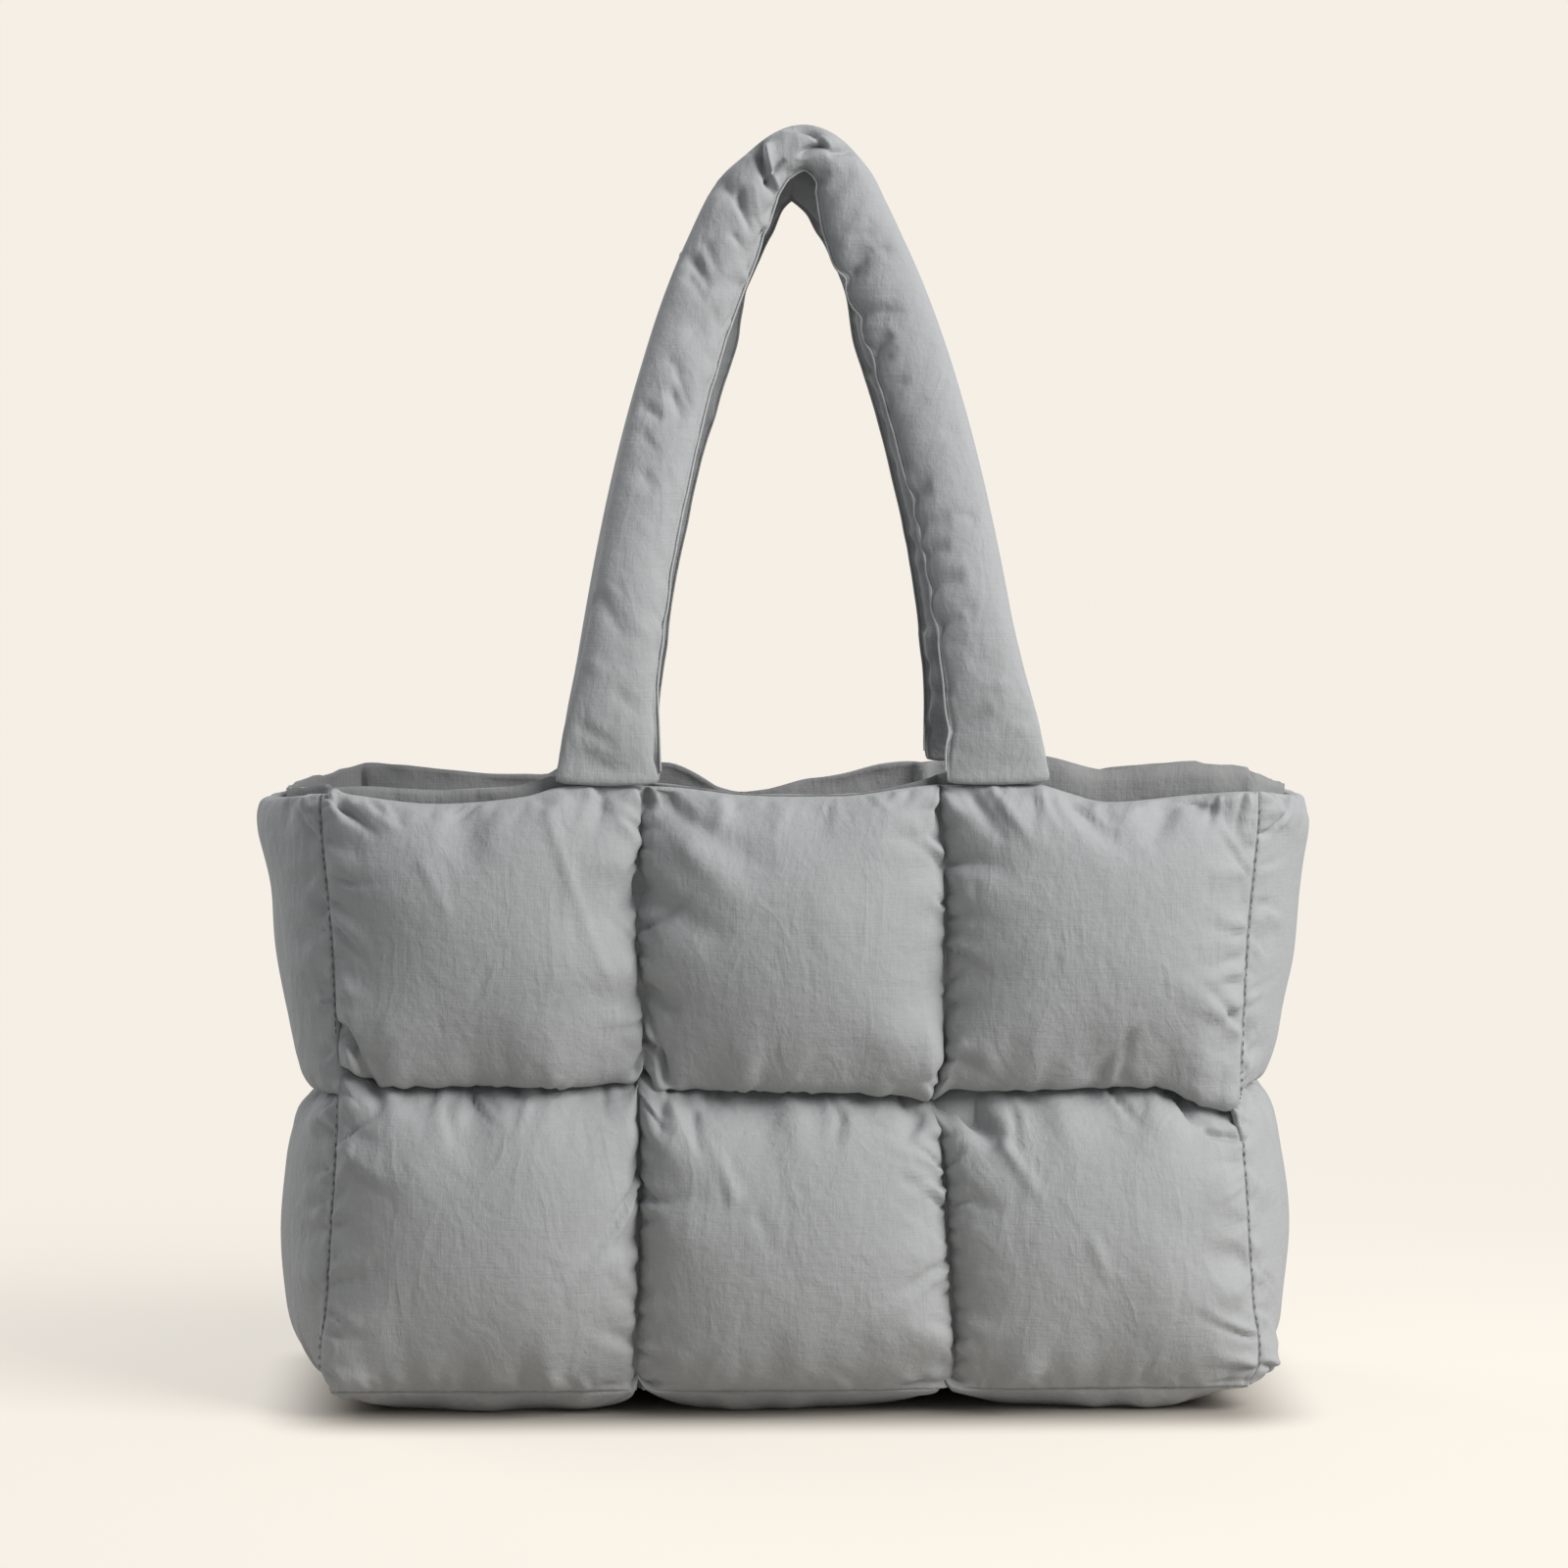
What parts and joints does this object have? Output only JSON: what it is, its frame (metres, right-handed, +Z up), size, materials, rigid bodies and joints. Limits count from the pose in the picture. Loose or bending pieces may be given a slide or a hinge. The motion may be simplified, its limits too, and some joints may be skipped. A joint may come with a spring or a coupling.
{
  "type": "puffer tote bag",
  "caption": "Quilted puffer tote bag, open at the top, with padded front, back, side and base panels and upright padded tube handles.",
  "frame": {"origin": "on the floor, under the middle of the bag's box", "axes": "+X to the right across the front, -Y the way the front faces, +Z up"},
  "size_m": [0.4328, 0.1844, 0.5161],
  "materials": {
    "shell_fabric": "matt mid-grey woven cloth over padding",
    "facing_fabric": "matt grey woven cloth, unpadded"
  },
  "bodies": {
    "root": {"front_panel": "shell_fabric", "back_panel": "shell_fabric", "left_gusset": "shell_fabric", "right_gusset": "shell_fabric", "base_panel": "shell_fabric", "rim_facing": "facing_fabric", "front_handle": "shell_fabric", "back_handle": "shell_fabric"}
  },
  "joints": []
}
